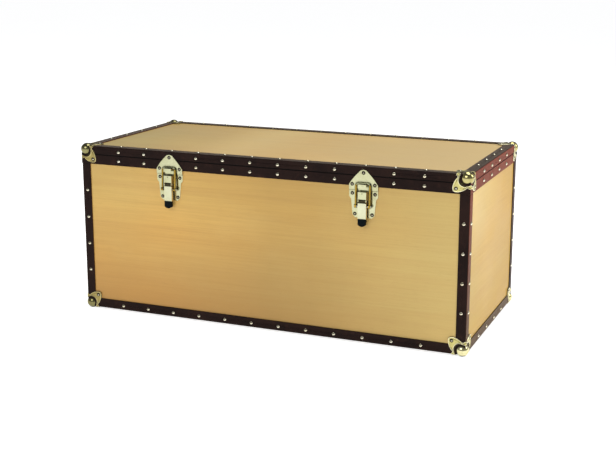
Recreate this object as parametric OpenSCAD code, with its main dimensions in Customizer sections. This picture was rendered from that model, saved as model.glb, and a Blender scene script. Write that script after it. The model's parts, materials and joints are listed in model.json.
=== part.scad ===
// A footlocker: a plywood case with dark fibre edging, brass ball corners and dome nails,
// two draw latches at the front, a long hinge at the back and a slotted stay at each end.
// Sizes are in millimetres. X runs along the length, the front faces -Y and Z is up.
// The origin is on the floor, under the middle of the case.

/* [Case] */
// Length over the edging
case_length = 956; // [800:1:1100]
// Depth over the edging, front to back
case_depth = 444; // [380:1:520]
// Height over the edging, bottom to top
case_height = 400; // [340:1:460]
// Height of the lid, from the parting line to the top
lid_height = 43.2; // [42:0.1:60]
// Thickness of the walls and of the lid's rails
wall_t = 9; // [7:0.5:12]
// Thickness of the bottom panel and of the lid's top panel
sheet_t = 6.5; // [5.5:0.5:9]
// Gap between the closed lid and the case
parting_gap = 0.6; // [0.3:0.1:1.5]

/* [Edging] */
// Thickness of the edging
edging_t = 2; // [1.5:0.1:3]
// Width of the flanges on the posts and the bottom edges
edging_w = 23; // [20:0.5:28]
// Height of the lid angle's upright flange
lid_band_h = 18.5; // [17:0.5:20]
// Width of the lid angle's top flange
lid_flange_w = 24.5; // [20:0.5:30]
// Radius of the edging's outer edge
edging_round = 3; // [1:0.5:4]
// Width of the groove between the lid's two bands
groove_w = 2.5; // [1.5:0.1:4]
// Thickness of the band at the bottom of the groove
groove_floor_t = 0.8; // [0.5:0.1:1.2]

/* [Ball corners] */
// Radius of the ball
ball_r = 14.5; // [12:0.5:16]
// Gap between the lowest nails and the floor
foot_gap = 0.5; // [0.3:0.1:3]
// Depth of the flat that each bottom ball stands on
foot_cut = 0.5; // [0.3:0.1:1]
// Thickness of the petals
petal_t = 1.2; // [0.8:0.1:2]
// Radius of a petal's round end
petal_r = 9.5; // [8:0.5:11]
// Distance of that round end's centre from both edges
petal_reach = 30; // [28:0.5:31]
// Length of a petal along the edges, from the corner
petal_edge = 29; // [26:0.5:32]
// Distance of a petal's nail from both edges
petal_nail = 31.5; // [29:0.5:33]

/* [Nails and rivets] */
// Radius of a dome nail's head
nail_head_r = 4.3; // [3.5:0.1:5.5]
// Height of a dome nail's head
nail_head_h = 2.8; // [2:0.1:3.5]
// Radius of a nail's shank
nail_shank_r = 1.2; // [0.8:0.1:1.6]
// Depth that nails and rivets reach into the wood
nail_bite = 5; // [3:0.5:5]
// Nails along the front and the back
long_nails = 12; // [8:1:16]
// Distance from the end of the case to the first of them
long_nail_margin = 101.5; // [70:0.5:120]
// Nails along each end
end_nails = 4; // [3:1:6]
// Distance from the front of the case to the first of them
end_nail_margin = 112.5; // [70:0.5:120]
// Nails along each flange of a post
post_nails = 4; // [3:1:5]
// Height of a post's lowest nail above the bottom edge
post_nail_low = 94.5; // [70:0.5:110]
// Distance of a post's highest nail below the parting line
post_nail_high = 64.3; // [50:0.5:80]
// Radius of a rivet's head on the latch plates
rivet_head_r = 3; // [2.4:0.1:3.6]
// Height of that head
rivet_head_h = 1; // [0.6:0.1:1.5]
// Radius of a rivet's shank
rivet_shank_r = 1.6; // [1:0.1:2]

/* [Hinge] */
// Radius of the knuckles
knuckle_r = 3; // [2.5:0.1:3.5]
// Radius of the hinge pin
hinge_pin_r = 1.4; // [1:0.1:1.8]
// Thickness of the leaves
leaf_t = 1.5; // [1:0.1:1.8]
// Height of a leaf, from the hinge axis
leaf_h = 21; // [15:0.5:22]
// Number of knuckles on both leaves together
knuckles = 36; // [20:2:44]
// How far the lid opens, in degrees
lid_open = 100; // [80:1:110]

/* [Latches] */
// Thickness of the latch plates
plate_t = 1.6; // [1.2:0.1:2]
// Width of the strike and of the upper part of the base plate
plate_w = 67; // [60:0.5:72]
// Height of the strike's top hole above the parting line
strike_hole_z = 29.8; // [28.5:0.1:31.5]
// Distance that the strike hangs below the parting line
strike_drop = 8.8; // [6:0.1:9.5]
// Depth of the base plate's lower edge below the parting line
base_bottom = 70.8; // [66:0.1:75]
// Width of the column of tongue, bridge and lever
column_w = 19.4; // [17:0.1:22]
// Distance of the column's face from the wood
column_q = 14; // [13.5:0.1:15]
// Radius of the bail's wire
wire_r = 2.25; // [1.8:0.05:2.4]
// Width of the bail between the centres of its arms
bail_w = 32; // [30:0.5:36]
// Radius of the bail's bends
bail_bend_r = 5; // [4:0.5:6]
// Height of the bail's bar above the parting line
bar_z = 6.7; // [6:0.1:7.5]
// Depth of the lever's pivot below the parting line
lever_pivot_z = 31.8; // [31:0.1:33]
// Distance from the lever's pivot to the bail's pivot
crank = 12; // [11:0.1:13]
// Distance of the bail's pivot behind the lever's, which holds the lever shut
over_centre = 0.7; // [0.3:0.1:1]
// Depth of the lever's metal end below the parting line
lever_end = 71.5; // [69:0.1:74]
// Length of the lever's plastic tip
tip_l = 17; // [15:0.5:22]
// Radius of the pivot pins
latch_pin_r = 1.6; // [1.2:0.1:1.8]

/* [Stays] */
// Distance of the stay's pivots from the hinge axis, along Y
stay_reach = 150; // [120:1:160]
// Height of the lid's pivot above the parting line, and depth of the stud below it
stay_rise = 14; // [12:0.5:16]
// Width of the arm
stay_w = 14; // [12:0.5:16]
// Thickness of the arm
stay_t = 2; // [1.5:0.1:3]
// Radius of the pivot and the stud
stay_pin_r = 2.5; // [2:0.1:3]
// Thickness of the stay's plates and of the pins' heads
stay_plate_t = 1.5; // [1:0.1:2]

/* [Clearances] */
// Round a pin that something turns on
pin_clear = 0.05; // [0.02:0.01:0.1]
// Round a nail or rivet in its hole
nail_clear = 0.1; // [0.05:0.05:0.2]
// Between pieces that pass each other
pass_clear = 0.3; // [0.2:0.05:0.5]
// Beside a stud in its slot
slide_clear = 0.1; // [0.05:0.05:0.2]
// Between the hinge's ends and the ball corners
hinge_gap = 1; // [0.5:0.5:10]

/* [Hidden] */
$fn = 48;
SIDES = ["left", "right"];
ENDS = ["front", "back"];
WOOD = [0.80, 0.65, 0.38];
FIBRE = [0.17, 0.13, 0.14];
BRASS = [0.86, 0.84, 0.62];
STEEL = [0.62, 0.62, 0.60];
BLACK = [0.05, 0.06, 0.07];

// Heights above the floor: the balls stand lower than the nails in the petals underneath
case_z = petal_t + nail_head_h + foot_gap;
ball_inset = ball_r - foot_cut - case_z;
parting_z = case_z + case_height - lid_height;
top_z = case_z + case_height;
case_rim_z = parting_z - parting_gap / 2;
lid_rim_z = parting_z + parting_gap / 2;
wood_low_z = case_z + edging_t;
wood_high_z = top_z - edging_t;

// Half sizes over the edging, over the wood and inside it
half_x = case_length / 2;
half_y = case_depth / 2;
wood_x = half_x - edging_t;
wood_y = half_y - edging_t;
inner_x = wood_x - wall_t;
inner_y = wood_y - wall_t;

// Nail rows, as distances from the outer edge: past the wall behind a flange, and past the sheet
nail_cover = 1.1;
edging_nail = edging_t + wall_t + nail_shank_r + pass_clear;
band_nail = edging_t + sheet_t + nail_shank_r + nail_cover;
valance_nail = (lid_band_h + groove_w + lid_height) / 2;
long_nail_x = spread(-half_x + long_nail_margin, half_x - long_nail_margin, long_nails);
end_nail_y = spread(-half_y + end_nail_margin, half_y - end_nail_margin, end_nails);
post_nail_z = spread(case_z + post_nail_low, parting_z - post_nail_high, post_nails);

// The latches stand on the third column of nails from each end and take its place
latch_column = 2;
latch_x = -long_nail_x[latch_column];
front_nail_x = [
    for (i = [0:long_nails - 1])
        if (i != latch_column && i != long_nails - 1 - latch_column) long_nail_x[i]
];

// Overlap that joins two shapes into one solid, and how far a cutter reaches past what it cuts
join = 1;

// Hinge axis, knuckles and the row of nails in a leaf
hinge_y = wood_y + knuckle_r + pass_clear;
hinge_length = case_length - 2 * (petal_reach + petal_r + hinge_gap);
knuckle_pitch = hinge_length / knuckles;
leaf_edge = knuckle_r + pass_clear;
leaf_nail = (leaf_edge + leaf_h) / 2;

// Latch places: q is a distance from the wood, and the bail's places are pairs of q and height
strike_q = edging_t + plate_t;
bar_q = strike_q + pass_clear + wire_r;
pivot_q = 9.5;
bail_pivot = [pivot_q - over_centre, -lever_pivot_z - crank];
bail_length = norm([bar_q, bar_z] - bail_pivot);
bail_lean = atan((bail_pivot[0] - bar_q) / (bar_z - bail_pivot[1]));

// The strike's outline, and the tongue with the seat and the lip that hold the bail's bar
lobe_r = 13;
lobe_edge = 6.7;
lobe_z = strike_hole_z + lobe_edge - lobe_r;
neck_z = lobe_z + 0.65 * lobe_r;
flank_r = 130;
flank_drop = 64.9;
shoulder_z = 3.2;
tongue_t = 1.5;
seat_t = 2;
seat_z = bar_z - wire_r - slide_clear;
lip_h = 1.2;
tongue_bottom = 3.3;

// The bridge over the lever's pivot, as depths below the parting line
cheek_t = 1.6;
bridge_top = 11.8;
bridge_bottom = lever_pivot_z - 4;
boss_r = 3.4;
bridge_q = pivot_q + boss_r;
web_half = 2;
dimple_r = 1.3;
dimple_depth = 0.8;
dimple_z = -bridge_top - 3;

// The lever, its tip and the bail's eyes
lever_top = lever_pivot_z + boss_r + 1.2;
lever_q = bridge_q + slide_clear;
lever_back_q = 5.5;
lever_wall = 2;
tip_proud = 1;
tip_w = column_w - 1.2;
tip_end_r = 0.6 * column_w;
tip_core_w = column_w - 8;
tip_core_end = 7;
eye_r = 4;
eye_t = 5;
pin_head = 1;

// The base plate's outline, from its upper edge down to its narrower foot
base_top = strike_drop + 1;
base_shoulder = 23.8;
base_waist = 29.8;
base_waist_w = plate_w - 9;
base_foot_w = plate_w - 16;
base_corner = 6;

// The rivets of the strike and of the base plate
rivet_top_r = 0.7 * rivet_head_r;
rivet_x = plate_w / 2 - 7.3;
strike_rivet_z = shoulder_z + 0.5;
base_rivet_z = -(base_top + base_shoulder) / 2;
foot_rivet_x = base_foot_w / 2 - 5.5;
foot_rivet_z = -base_bottom + 8;
strike_rivets = [[0, strike_hole_z], [-rivet_x, strike_rivet_z], [rivet_x, strike_rivet_z]];
base_rivets = [
    for (side = [-1, 1])
        each [[side * rivet_x, base_rivet_z], [side * foot_rivet_x, foot_rivet_z]]
];

// Stay: distance from pivot to stud with the lid shut and with it open
stay_x = inner_x - stay_plate_t;
stay_y = hinge_y - stay_reach;
stay_radius = norm([stay_reach, stay_rise]);
stay_shut = 2 * stay_rise;
stay_reached = 2 * stay_radius * sin(atan(stay_rise / stay_reach) + lid_open / 2);
stay_arm_x = stay_x - pass_clear - stay_t;
stay_head_x = stay_arm_x - pass_clear - stay_plate_t;
stay_plate = [30, 20];
stay_rivet = 11;
stay_head_r = stay_pin_r + 2.5;
stay_eye_r = stay_w / 2 + 1;
stay_end = 5;

// Evenly spaced values from one end to the other
function spread(from, to, count) = [for (i = [0:count - 1]) from + (to - from) * i / (count - 1)];

// Places

// Turns a piece drawn for the left or the front into its opposite
module facing(side, end = "front") {
    mirror([side == "right" ? 1 : 0, 0, 0])
        mirror([0, end == "back" ? 1 : 0, 0])
            children();
}

// Each of these puts a piece on an outer face, its +Z pointing out, raised by level
module on_front(x, z, level = 0) {
    $level = level;
    translate([x, -half_y - level, z])
        rotate([90, 0, 0])
            children();
}

module on_back(x, z, level = 0) {
    $level = level;
    translate([x, half_y + level, z])
        rotate([-90, 0, 0])
            children();
}

module on_side(side, y, z, level = 0) {
    $level = level;
    facing(side)
        translate([-half_x - level, y, z])
            rotate([0, -90, 0])
                children();
}

module on_top(x, y, level = 0) {
    $level = level;
    translate([x, y, top_z + level])
        children();
}

module on_bottom(x, y, level = 0) {
    $level = level;
    translate([x, y, case_z - level])
        rotate([180, 0, 0])
            children();
}

// A latch's own frame: X across it, Y out from the wood and Z up from the parting line
module at_latch(side) {
    translate([(side == "left" ? -1 : 1) * latch_x, -wood_y, parting_z])
        mirror([0, 1, 0])
            children();
}

// Nails and rivets

// A dome nail, its head on the face and its shank reaching into the wood
module nail() {
    dome_r = (nail_head_r * nail_head_r + nail_head_h * nail_head_h) / (2 * nail_head_h);
    depth = $level + edging_t + nail_bite;
    rotate_extrude() {
        intersection() {
            translate([0, nail_head_h - dome_r])
                circle(dome_r);
            square(nail_head_r + nail_head_h);
        }
        translate([0, -depth])
            square([nail_shank_r, depth + nail_head_h / 4]);
    }
}

module nail_hole() {
    translate([0, 0, -$level - edging_t - nail_bite])
        cylinder(h = $level + edging_t + nail_bite + petal_t, r = nail_shank_r + nail_clear);
}

// The places of the nails, one face at a time
module case_front_nails() {
    for (x = long_nail_x)
        on_front(x, case_z + band_nail) children();
    for (x = [-half_x + edging_nail, half_x - edging_nail], z = post_nail_z)
        on_front(x, z) children();
    for (x = [-half_x + petal_nail, half_x - petal_nail])
        on_front(x, case_z + petal_nail, petal_t) children();
}

module case_back_nails() {
    for (x = long_nail_x)
        on_back(x, case_z + band_nail) children();
    for (x = [-half_x + edging_nail, half_x - edging_nail], z = post_nail_z)
        on_back(x, z) children();
    for (x = [-half_x + petal_nail, half_x - petal_nail])
        on_back(x, case_z + petal_nail, petal_t) children();
    for (x = long_nail_x)
        on_back(x, parting_z - leaf_nail, leaf_t - edging_t) children();
}

module case_side_nails(side) {
    for (y = end_nail_y)
        on_side(side, y, case_z + band_nail) children();
    for (y = [-half_y + edging_nail, half_y - edging_nail], z = post_nail_z)
        on_side(side, y, z) children();
    for (y = [-half_y + petal_nail, half_y - petal_nail])
        on_side(side, y, case_z + petal_nail, petal_t) children();
}

module case_bottom_nails() {
    for (x = long_nail_x, y = [-half_y + edging_nail, half_y - edging_nail])
        on_bottom(x, y) children();
    for (y = end_nail_y, x = [-half_x + edging_nail, half_x - edging_nail])
        on_bottom(x, y) children();
    for (x = [-half_x + petal_nail, half_x - petal_nail], y = [-half_y + petal_nail, half_y - petal_nail])
        on_bottom(x, y, petal_t) children();
}

module lid_front_nails() {
    for (x = front_nail_x, drop = [band_nail, valance_nail])
        on_front(x, top_z - drop) children();
    for (x = [-half_x + petal_nail, half_x - petal_nail])
        on_front(x, top_z - petal_nail, petal_t) children();
}

module lid_back_nails() {
    for (x = long_nail_x)
        on_back(x, top_z - band_nail) children();
    for (x = [-half_x + petal_nail, half_x - petal_nail])
        on_back(x, top_z - petal_nail, petal_t) children();
    for (x = long_nail_x)
        on_back(x, parting_z + leaf_nail, leaf_t - edging_t) children();
}

module lid_side_nails(side) {
    for (y = end_nail_y, drop = [band_nail, valance_nail])
        on_side(side, y, top_z - drop) children();
    for (y = [-half_y + petal_nail, half_y - petal_nail])
        on_side(side, y, top_z - petal_nail, petal_t) children();
}

module lid_top_nails() {
    for (x = long_nail_x, y = [-half_y + edging_nail, half_y - edging_nail])
        on_top(x, y) children();
    for (y = end_nail_y, x = [-half_x + edging_nail, half_x - edging_nail])
        on_top(x, y) children();
    for (x = [-half_x + petal_nail, half_x - petal_nail], y = [-half_y + petal_nail, half_y - petal_nail])
        on_top(x, y, petal_t) children();
}

module case_nails() {
    color(BRASS) {
        case_front_nails() nail();
        case_back_nails() nail();
        for (s = SIDES)
            case_side_nails(s) nail();
    }
}

module case_under_nails() {
    color(BRASS)
        case_bottom_nails() nail();
}

module lid_nails() {
    color(BRASS) {
        lid_front_nails() nail();
        lid_back_nails() nail();
        for (s = SIDES)
            lid_side_nails(s) nail();
    }
}

module lid_upper_nails() {
    color(BRASS)
        lid_top_nails() nail();
}

// A rivet through a latch plate, with the plate's face at distance q from the wood
module rivet(place, q) {
    translate([place[0], q, place[1]])
        rotate([-90, 0, 0]) {
            cylinder(h = rivet_head_h, r1 = rivet_head_r, r2 = rivet_top_r);
            translate([0, 0, -q - nail_bite])
                cylinder(h = q + nail_bite, r = rivet_shank_r);
        }
}

module rivet_hole(place, q) {
    translate([place[0], -nail_bite, place[1]])
        rotate([-90, 0, 0])
            cylinder(h = q + nail_bite, r = rivet_shank_r + nail_clear);
}

module base_rivet_holes() {
    for (s = SIDES, place = base_rivets)
        at_latch(s) rivet_hole(place, plate_t);
}

module strike_rivet_holes() {
    for (s = SIDES, place = strike_rivets)
        at_latch(s) rivet_hole(place, strike_q);
}

// The flush rivets of a stay's plate, whose middle is at height z; grow widens them into holes
module stay_rivets(side, z, grow = 0) {
    for (dy = [-stay_rivet, stay_rivet])
        facing(side)
            translate([-inner_x - nail_bite, stay_y + dy, z])
                rotate([0, 90, 0])
                    cylinder(h = nail_bite + stay_plate_t, r = rivet_shank_r + grow);
}

module case_rivets() {
    color(BRASS)
        for (s = SIDES) {
            for (place = base_rivets)
                at_latch(s) rivet(place, plate_t);
            stay_rivets(s, parting_z - stay_rise);
        }
}

module lid_rivets() {
    color(BRASS)
        for (s = SIDES) {
            for (place = strike_rivets)
                at_latch(s) rivet(place, strike_q);
            stay_rivets(s, parting_z + stay_rise);
        }
}

// Wooden panels

module block(low, high) {
    translate(low)
        cube(high - low);
}

module bottom_panel() {
    color(WOOD)
        difference() {
            block([-wood_x, -wood_y, wood_low_z], [wood_x, wood_y, wood_low_z + sheet_t]);
            case_bottom_nails() nail_hole();
        }
}

module front_panel() {
    color(WOOD)
        difference() {
            block([-wood_x, -wood_y, wood_low_z + sheet_t], [wood_x, -inner_y, case_rim_z]);
            case_front_nails() nail_hole();
            base_rivet_holes();
        }
}

module back_panel() {
    color(WOOD)
        difference() {
            block([-wood_x, inner_y, wood_low_z + sheet_t], [wood_x, wood_y, case_rim_z]);
            case_back_nails() nail_hole();
        }
}

module end_panel(side) {
    color(WOOD)
        difference() {
            facing(side)
                block([-wood_x, -inner_y, wood_low_z + sheet_t], [-inner_x, inner_y, case_rim_z]);
            case_side_nails(side) nail_hole();
            stay_rivets(side, parting_z - stay_rise, nail_clear);
        }
}

module lid_top_panel() {
    color(WOOD)
        difference() {
            block([-wood_x, -wood_y, wood_high_z - sheet_t], [wood_x, wood_y, wood_high_z]);
            lid_top_nails() nail_hole();
        }
}

module lid_front_rail() {
    color(WOOD)
        difference() {
            block([-wood_x, -wood_y, lid_rim_z], [wood_x, -inner_y, wood_high_z - sheet_t]);
            lid_front_nails() nail_hole();
            strike_rivet_holes();
        }
}

module lid_back_rail() {
    color(WOOD)
        difference() {
            block([-wood_x, inner_y, lid_rim_z], [wood_x, wood_y, wood_high_z - sheet_t]);
            lid_back_nails() nail_hole();
        }
}

module lid_end_rail(side) {
    color(WOOD)
        difference() {
            facing(side)
                block([-wood_x, -inner_y, lid_rim_z], [-inner_x, inner_y, wood_high_z - sheet_t]);
            lid_side_nails(side) nail_hole();
            stay_rivets(side, parting_z + stay_rise, nail_clear);
        }
}

// Edging

// An angle's section, with its rounded outer edge at the origin
module angle_section(width, height) {
    difference() {
        square([width, height]);
        translate([edging_t, edging_t])
            square([width, height]);
        difference() {
            square(edging_round);
            translate([edging_round, edging_round])
                circle(edging_round);
        }
    }
}

// The waste of a mitre at the start of a bar along X: everything where X is less than Y
module mitre_waste(size) {
    far = size + join;
    translate([0, 0, -join])
        linear_extrude(far + join)
            polygon([[-join, -join], [far, far], [-join, far]]);
}

// The room that an edging leaves for the ball at the start of a bar, with the very corner off
module ball_room() {
    translate([ball_inset, ball_inset, ball_inset])
        sphere(ball_r + pass_clear);
    translate([-join, -join, -join])
        cube(ball_inset + join);
}

// The end of a bar: mitred against the bar beside it and against a post, or else cut off at the ball
module bar_end_waste(size, post) {
    mitre_waste(size);
    if (post)
        mirror([0, 1, -1])
            mitre_waste(size);
    else
        translate([-join, -join, -join])
            cube([ball_inset + join, size + 2 * join, size + 2 * join]);
    ball_room();
}

// An angle along X from a corner at the origin, flat along Y and upright along Z
module angle_bar(length, width, height, post = true, both_ends = true) {
    size = max(width, height);
    difference() {
        rotate([90, 0, 90])
            linear_extrude(length)
                angle_section(width, height);
        bar_end_waste(size, post);
        if (both_ends)
            translate([length, 0, 0])
                mirror([1, 0, 0])
                    bar_end_waste(size, post);
    }
}

// Bars along the case's length lie at the front or back, and those along its depth at an end
module long_bar_place(end, z) {
    facing("left", end)
        translate([-half_x, -half_y, z])
            children();
}

module end_bar_place(side, z) {
    facing(side)
        translate([-half_x, -half_y, z])
            mirror([1, -1, 0])
                children();
}

module long_bottom_edging(end) {
    color(FIBRE)
        difference() {
            long_bar_place(end, case_z)
                angle_bar(case_length, edging_w, edging_w);
            if (end == "front")
                case_front_nails() nail_hole();
            else
                case_back_nails() nail_hole();
            case_bottom_nails() nail_hole();
        }
}

module end_bottom_edging(side) {
    color(FIBRE)
        difference() {
            end_bar_place(side, case_z)
                angle_bar(case_depth, edging_w, edging_w);
            case_side_nails(side) nail_hole();
            case_bottom_nails() nail_hole();
        }
}

module post_edging(end, side) {
    color(FIBRE)
        difference() {
            facing(side, end)
                translate([-half_x, -half_y, case_z])
                    rotate(-120, [1, 1, 1])
                        angle_bar(case_rim_z - case_z, edging_w, edging_w, true, false);
            if (end == "front")
                case_front_nails() nail_hole();
            else
                case_back_nails() nail_hole();
            case_side_nails(side) nail_hole();
        }
}

module long_lid_edging(end) {
    color(FIBRE)
        difference() {
            long_bar_place(end, top_z)
                mirror([0, 0, 1])
                    angle_bar(case_length, lid_flange_w, lid_band_h, false);
            if (end == "front") {
                lid_front_nails() nail_hole();
                strike_rivet_holes();
            } else {
                lid_back_nails() nail_hole();
            }
            lid_top_nails() nail_hole();
        }
}

module end_lid_edging(side) {
    color(FIBRE)
        difference() {
            end_bar_place(side, top_z)
                mirror([0, 0, 1])
                    angle_bar(case_depth, lid_flange_w, lid_band_h, false);
            lid_side_nails(side) nail_hole();
            lid_top_nails() nail_hole();
        }
}

// The lower band of the lid along X: thinned at its top where the groove runs, and with a tab
// at each end that fills the upright edge below the ball
module valance_bar(length) {
    face_h = lid_height - lid_band_h - groove_w - parting_gap / 2;
    rim_h = lid_height - parting_gap / 2;
    groove_start = ball_inset + ball_r + pass_clear;
    tab_w = ball_inset - pass_clear;
    difference() {
        union() {
            cube([length, edging_t, face_h]);
            translate([groove_start, edging_t - groove_floor_t, 0])
                cube([length - 2 * groove_start, groove_floor_t, face_h + groove_w]);
            for (x = [0, length - tab_w])
                translate([x, 0, 0])
                    cube([tab_w, edging_t, rim_h - ball_inset]);
        }
        for (flip = [0, 1])
            translate([flip * length, 0, 0])
                mirror([flip, 0, 0]) {
                    mitre_waste(rim_h);
                    translate([0, 0, rim_h])
                        mirror([0, 0, 1])
                            ball_room();
                }
    }
}

module lid_front_valance() {
    color(FIBRE)
        difference() {
            long_bar_place("front", lid_rim_z)
                valance_bar(case_length);
            lid_front_nails() nail_hole();
            strike_rivet_holes();
        }
}

module lid_end_valance(side) {
    color(FIBRE)
        difference() {
            end_bar_place(side, lid_rim_z)
                valance_bar(case_depth);
            lid_side_nails(side) nail_hole();
        }
}

// Ball corners

// A petal spreads from the ball along both edges, draws in a little and ends in a round tip
module petal_outline() {
    waist_in = 1.5;
    waist_at = 11;
    wide = petal_reach + 0.8 * petal_r;
    narrow = petal_reach - 0.4 * petal_r;
    translate([petal_reach, petal_reach])
        circle(petal_r);
    polygon([
        [edging_round, ball_inset],
        [ball_inset, edging_round],
        [petal_edge, edging_round],
        [petal_edge - waist_in, waist_at],
        [wide, narrow],
        [narrow, wide],
        [waist_at, petal_edge - waist_in],
        [edging_round, petal_edge]
    ]);
}

// A petal on the face Z = 0, with a pad that fills the step down to bare wood past the given place
module petal(pad_from) {
    translate([0, 0, -petal_t])
        linear_extrude(petal_t)
            petal_outline();
    if (!is_undef(pad_from))
        translate([0, 0, -petal_t / 2])
            linear_extrude(petal_t / 2 + edging_t)
                intersection() {
                    petal_outline();
                    translate(pad_from)
                        square(2 * petal_reach);
                }
}

// A ball corner for the corner at the origin of a case that lies along +X, +Y and +Z. The pads
// are for the petals on the level face, the end face and the long face.
module ball_corner(level_pad, end_pad, long_pad) {
    difference() {
        translate([ball_inset, ball_inset, ball_inset])
            sphere(ball_r);
        translate([edging_t, edging_t, edging_t])
            cube(2 * ball_r + ball_inset);
    }
    petal(level_pad);
    rotate(120, [1, 1, 1])
        petal(end_pad);
    rotate(-120, [1, 1, 1])
        petal(long_pad);
}

module bottom_ball_corner(end, side) {
    pad = [edging_w, edging_w];
    color(BRASS)
        difference() {
            facing(side, end)
                translate([-half_x, -half_y, case_z])
                    ball_corner(pad, pad, pad);
            translate([-case_length, -case_depth, -ball_r])
                cube([2 * case_length, 2 * case_depth, ball_r]);
            if (end == "front")
                case_front_nails() nail_hole();
            else
                case_back_nails() nail_hole();
            case_side_nails(side) nail_hole();
            case_bottom_nails() nail_hole();
        }
}

// At the back the lid has no lower band, so the petal there has a pad below the upper one
module lid_ball_corner(end, side) {
    back_pad = [lid_band_h, edging_t + pass_clear];
    color(BRASS)
        difference() {
            facing(side, end)
                translate([-half_x, -half_y, top_z])
                    mirror([0, 0, 1])
                        ball_corner([lid_flange_w, lid_flange_w], undef, end == "back" ? back_pad : undef);
            if (end == "front")
                lid_front_nails() nail_hole();
            else
                lid_back_nails() nail_hole();
            lid_side_nails(side) nail_hole();
            lid_top_nails() nail_hole();
        }
}

// Hinge

// A leaf that rises from the hinge axis, with every other knuckle starting at the given one
module hinge_leaf(first) {
    difference() {
        union() {
            block([-hinge_length / 2, wood_y - hinge_y, leaf_edge],
                  [hinge_length / 2, wood_y - hinge_y + leaf_t, leaf_h]);
            for (i = [first:2:knuckles - 1])
                translate([-hinge_length / 2 + i * knuckle_pitch + pass_clear / 2, 0, 0]) {
                    rotate([0, 90, 0])
                        cylinder(h = knuckle_pitch - pass_clear, r = knuckle_r);
                    translate([0, wood_y - hinge_y, 0])
                        cube([knuckle_pitch - pass_clear, leaf_t, leaf_edge + join]);
                }
        }
        translate([-hinge_length / 2 - join, 0, 0])
            rotate([0, 90, 0])
                cylinder(h = hinge_length + 2 * join, r = hinge_pin_r + pin_clear);
    }
}

module case_hinge_leaf() {
    color(BRASS)
        difference() {
            translate([0, hinge_y, parting_z])
                mirror([0, 0, 1])
                    hinge_leaf(1);
            case_back_nails() nail_hole();
        }
}

module lid_hinge_leaf() {
    color(BRASS)
        difference() {
            translate([0, hinge_y, parting_z])
                hinge_leaf(0);
            lid_back_nails() nail_hole();
        }
}

module hinge_pin() {
    color(STEEL)
        translate([-hinge_length / 2, hinge_y, parting_z])
            rotate([0, 90, 0])
                cylinder(h = hinge_length, r = hinge_pin_r);
}

// Latches

// Draws children() twice, on the left and the right of a latch
module both_sides() {
    children();
    mirror([1, 0, 0])
        children();
}

// A flat outline in X and Z that becomes a plate from distance q outwards
module upright_plate(q, thickness) {
    translate([0, q + thickness, 0])
        rotate([90, 0, 0])
            linear_extrude(thickness)
                children();
}

// A shape in Y and Z, drawn out along X and centred there
module across_latch(width) {
    translate([-width / 2, 0, 0])
        rotate([90, 0, 90])
            linear_extrude(width)
                children();
}

// A round bar along X at the distance and height in place
module cross_bar(place, width, radius) {
    translate([-width / 2, place[0], place[1]])
        rotate([0, 90, 0])
            cylinder(h = width, r = radius);
}

// The strike's flanks are two arcs from the shoulders, which meet in a round lobe
module strike_outline() {
    flank_x = sqrt(flank_r * flank_r - pow(shoulder_z + flank_drop, 2)) - plate_w / 2;
    intersection() {
        translate([flank_x, -flank_drop])
            circle(flank_r, $fn = 96);
        translate([-flank_x, -flank_drop])
            circle(flank_r, $fn = 96);
        translate([-plate_w / 2, -strike_drop])
            square([plate_w, strike_drop + neck_z]);
    }
    translate([0, lobe_z])
        circle(lobe_r);
}

module latch_strike(side) {
    color(BRASS)
        at_latch(side)
            difference() {
                union() {
                    upright_plate(edging_t, plate_t)
                        strike_outline();
                    across_latch(column_w)
                        polygon([
                            [edging_t, seat_z - seat_t],
                            [column_q - tongue_t, seat_z - seat_t],
                            [column_q - tongue_t, -tongue_bottom],
                            [column_q, -tongue_bottom],
                            [column_q, seat_z + lip_h],
                            [column_q - tongue_t, seat_z + lip_h],
                            [column_q - tongue_t, seat_z],
                            [edging_t, seat_z]
                        ]);
                }
                for (place = strike_rivets)
                    rivet_hole(place, strike_q);
            }
}

module base_outline() {
    both_sides()
        polygon([
            [0, -base_top],
            [plate_w / 2, -base_top],
            [plate_w / 2, -base_shoulder],
            [base_waist_w / 2, -base_waist],
            [base_foot_w / 2, -base_bottom + base_corner],
            [base_foot_w / 2 - base_corner, -base_bottom],
            [0, -base_bottom]
        ]);
}

// The base plate with its raised bridge, whose cheeks carry the lever's pin
module latch_base(side) {
    color(BRASS)
        at_latch(side)
            difference() {
                union() {
                    upright_plate(0, plate_t)
                        base_outline();
                    across_latch(column_w)
                        polygon([
                            [plate_t / 2, -bridge_top],
                            [bridge_q, -bridge_top],
                            [bridge_q, -bridge_bottom],
                            [plate_t / 2, -bridge_bottom]
                        ]);
                    both_sides()
                        translate([column_w / 2 - cheek_t / 2, 0, 0]) {
                            cross_bar([pivot_q, -lever_pivot_z], cheek_t, boss_r);
                            across_latch(cheek_t)
                                polygon([
                                    [plate_t / 2, -bridge_bottom + join],
                                    [pivot_q + web_half, -bridge_bottom + join],
                                    [pivot_q + web_half, -lever_pivot_z],
                                    [plate_t / 2, -lever_pivot_z]
                                ]);
                        }
                }
                across_latch(column_w - 2 * cheek_t)
                    polygon([
                        [plate_t, -bridge_top - cheek_t],
                        [bridge_q - cheek_t, -bridge_top - cheek_t],
                        [bridge_q - cheek_t, -base_bottom],
                        [plate_t, -base_bottom]
                    ]);
                cross_bar([pivot_q, -lever_pivot_z], column_w + 2 * join, latch_pin_r + pin_clear);
                translate([0, bridge_q - dimple_depth, dimple_z])
                    rotate([-90, 0, 0])
                        cylinder(h = dimple_depth + join, r = dimple_r);
                for (place = base_rivets)
                    rivet_hole(place, plate_t);
            }
}

module lever_pins() {
    color(STEEL)
        for (s = SIDES)
            at_latch(s)
                cross_bar([pivot_q, -lever_pivot_z], column_w + pin_head, latch_pin_r);
}

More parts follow.
